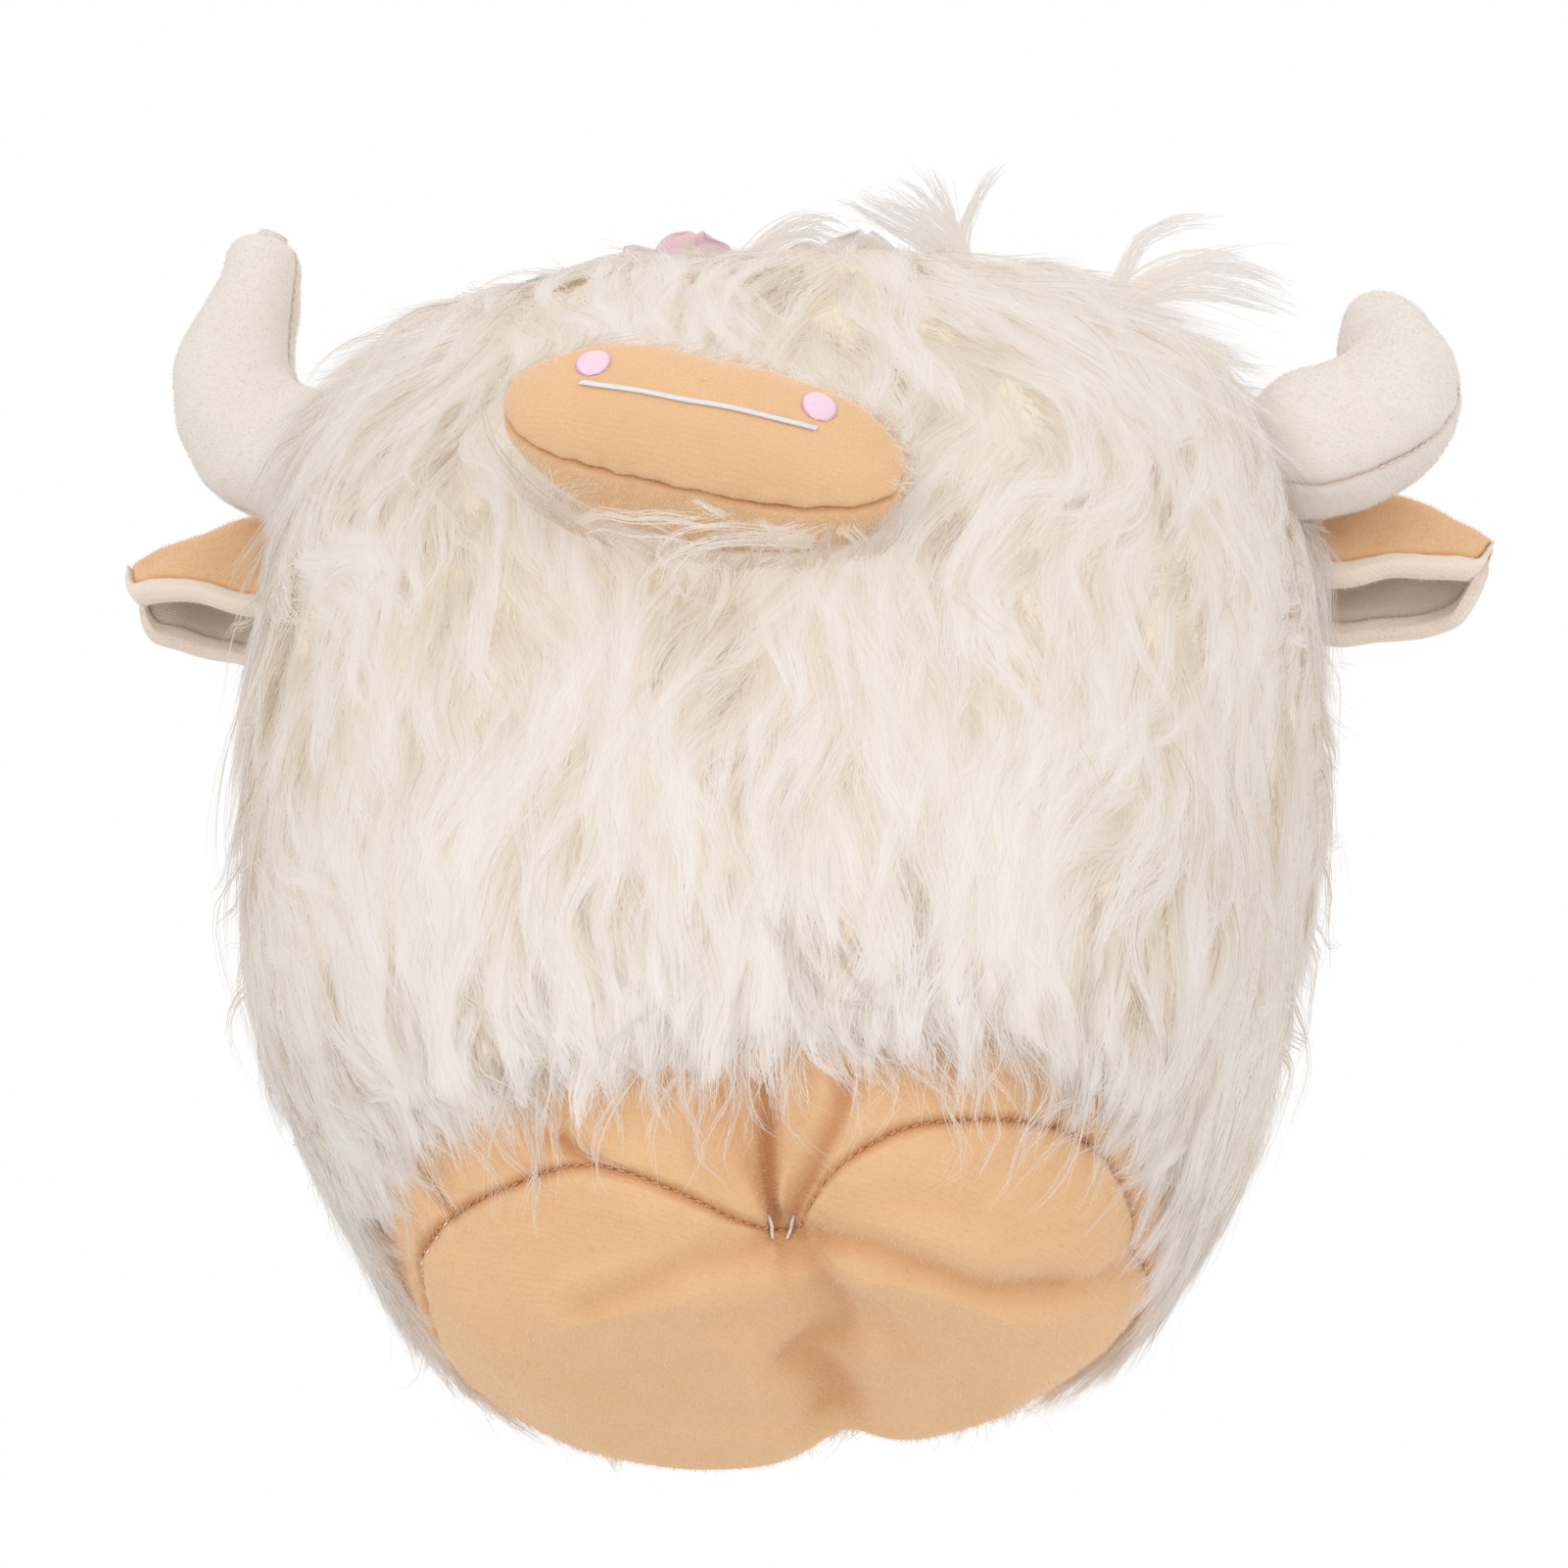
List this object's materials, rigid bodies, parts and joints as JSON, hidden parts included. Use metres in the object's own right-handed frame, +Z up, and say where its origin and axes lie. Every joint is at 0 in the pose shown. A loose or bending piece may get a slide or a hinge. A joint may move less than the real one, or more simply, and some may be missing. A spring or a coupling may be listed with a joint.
{
  "type": "plush cow",
  "caption": "Stuffed highland-style cow with a long-pile coat, pillow muzzle, curved horns, folded ears and satin flowers; it stands on a drawn-in tan sole.",
  "frame": {"origin": "middle of the toy's footprint box, at the height that its sole stands on", "axes": "+Z up, -Y the way the muzzle faces, +X towards the ear on the right of the picture"},
  "size_m": [0.3528, 0.2518, 0.3358],
  "materials": {
    "long_pile": "long cream faux fur in wavy locks",
    "tan_knit": "brushed tan knit",
    "horn_plush": "off-white short plush",
    "ear_lining": "cream knit",
    "fibre_filling": "loose polyester fibre",
    "pink_thread": "pink satin stitch",
    "white_thread": "white satin stitch",
    "pink_satin": "pink satin ribbon",
    "white_satin": "white satin ribbon",
    "pale_satin": "pale pink satin ribbon",
    "leaf_satin": "pale green satin ribbon"
  },
  "bodies": {
    "body": {"body_filling": "fibre_filling", "sole_panel": "tan_knit", "foot_front_panel": "tan_knit", "base_band": "tan_knit", "muzzle_filling": "fibre_filling", "muzzle_front_panel": "tan_knit", "muzzle_back_panel": "tan_knit", "mouth_line": "white_thread", "nostril_left": "pink_thread", "nostril_right": "pink_thread", "flower_pink": "pink_satin", "flower_white": "white_satin", "flower_pale": "pale_satin", "leaf_left": "leaf_satin", "leaf_right": "leaf_satin", "coat_back_panel": "long_pile", "coat_front_panel": "long_pile"},
    "horn_left": {"horn_left_filling": "fibre_filling", "horn_left_back_panel": "horn_plush", "horn_left_front_panel": "horn_plush"},
    "horn_right": {"horn_right_filling": "fibre_filling", "horn_right_back_panel": "horn_plush", "horn_right_front_panel": "horn_plush"},
    "ear_left": {"ear_left_outer": "tan_knit", "ear_left_lining": "ear_lining"},
    "ear_right": {"ear_right_outer": "tan_knit", "ear_right_lining": "ear_lining"}
  },
  "joints": [
    {"name": "horn_left_bend", "type": "hinge", "parent": "body", "child": "horn_left", "pos_m": [-0.12003, -0.00827, 0.27627], "axis": [0, 1, 0], "range_deg": [-8, 8], "stiffness_Nm_per_rad": 0.05},
    {"name": "horn_right_bend", "type": "hinge", "parent": "body", "child": "horn_right", "pos_m": [0.13669, -0.00328, 0.23329], "axis": [0, 1, 0], "range_deg": [-8, 8], "stiffness_Nm_per_rad": 0.05},
    {"name": "ear_left_flap", "type": "hinge", "parent": "body", "child": "ear_left", "pos_m": [-0.11019, 0.02573, 0.26298], "axis": [0, 1, 0], "range_deg": [-12, 12], "stiffness_Nm_per_rad": 0.03},
    {"name": "ear_right_flap", "type": "hinge", "parent": "body", "child": "ear_right", "pos_m": [0.11958, 0.02873, 0.23357], "axis": [0, 1, 0], "range_deg": [-12, 12], "stiffness_Nm_per_rad": 0.03}
  ]
}
